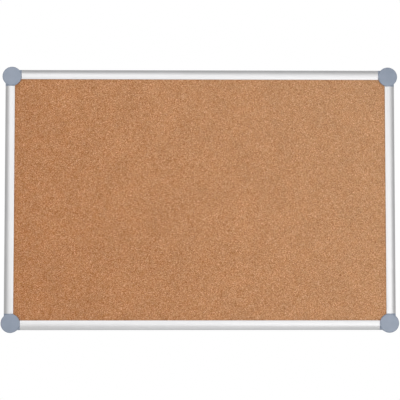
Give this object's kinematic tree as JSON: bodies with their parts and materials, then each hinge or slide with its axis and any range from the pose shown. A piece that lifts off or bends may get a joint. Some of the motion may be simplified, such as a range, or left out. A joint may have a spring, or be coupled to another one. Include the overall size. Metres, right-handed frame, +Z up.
{
  "type": "cork notice board",
  "caption": "Cork notice board in a hollow aluminium frame, with round plastic corners whose snap-off caps hide the wall screws.",
  "frame": {"origin": "centre of the board on the plane of the wall, where mount wall is", "axes": "+X along the board's length, to the right as seen from the front; +Y into the wall, so the front faces -Y; +Z up"},
  "size_m": [0.912, 0.021, 0.612],
  "materials": {
    "anodised_aluminium": "satin",
    "cork": "matte",
    "softboard": "matte",
    "hardboard": "satin",
    "grey_plastic": "satin",
    "zinc_steel": "satin"
  },
  "bodies": {
    "root": {"rail_top": "anodised_aluminium", "rail_bottom": "anodised_aluminium", "rail_left": "anodised_aluminium", "rail_right": "anodised_aluminium", "cork_sheet": "cork", "softboard_core": "softboard", "backing_sheet": "hardboard", "corner_bottom_left": "grey_plastic", "corner_bottom_right": "grey_plastic", "corner_top_right": "grey_plastic", "corner_top_left": "grey_plastic", "screw_bottom_left_1": "zinc_steel", "screw_bottom_left_2": "zinc_steel", "screw_bottom_right_1": "zinc_steel", "screw_bottom_right_2": "zinc_steel", "screw_top_right_1": "zinc_steel", "screw_top_right_2": "zinc_steel", "screw_top_left_1": "zinc_steel", "screw_top_left_2": "zinc_steel"},
    "cap_bottom_left": {"cap_bottom_left": "grey_plastic"},
    "cap_bottom_right": {"cap_bottom_right": "grey_plastic"},
    "cap_top_right": {"cap_top_right": "grey_plastic"},
    "cap_top_left": {"cap_top_left": "grey_plastic"}
  },
  "joints": [
    {"name": "cap_bottom_left_pull", "type": "slide", "parent": "root", "child": "cap_bottom_left", "axis": [0, -1, 0], "range_m": [0, 0.03]},
    {"name": "cap_bottom_right_pull", "type": "slide", "parent": "root", "child": "cap_bottom_right", "axis": [0, -1, 0], "range_m": [0, 0.03]},
    {"name": "cap_top_right_pull", "type": "slide", "parent": "root", "child": "cap_top_right", "axis": [0, -1, 0], "range_m": [0, 0.03]},
    {"name": "cap_top_left_pull", "type": "slide", "parent": "root", "child": "cap_top_left", "axis": [0, -1, 0], "range_m": [0, 0.03]}
  ]
}
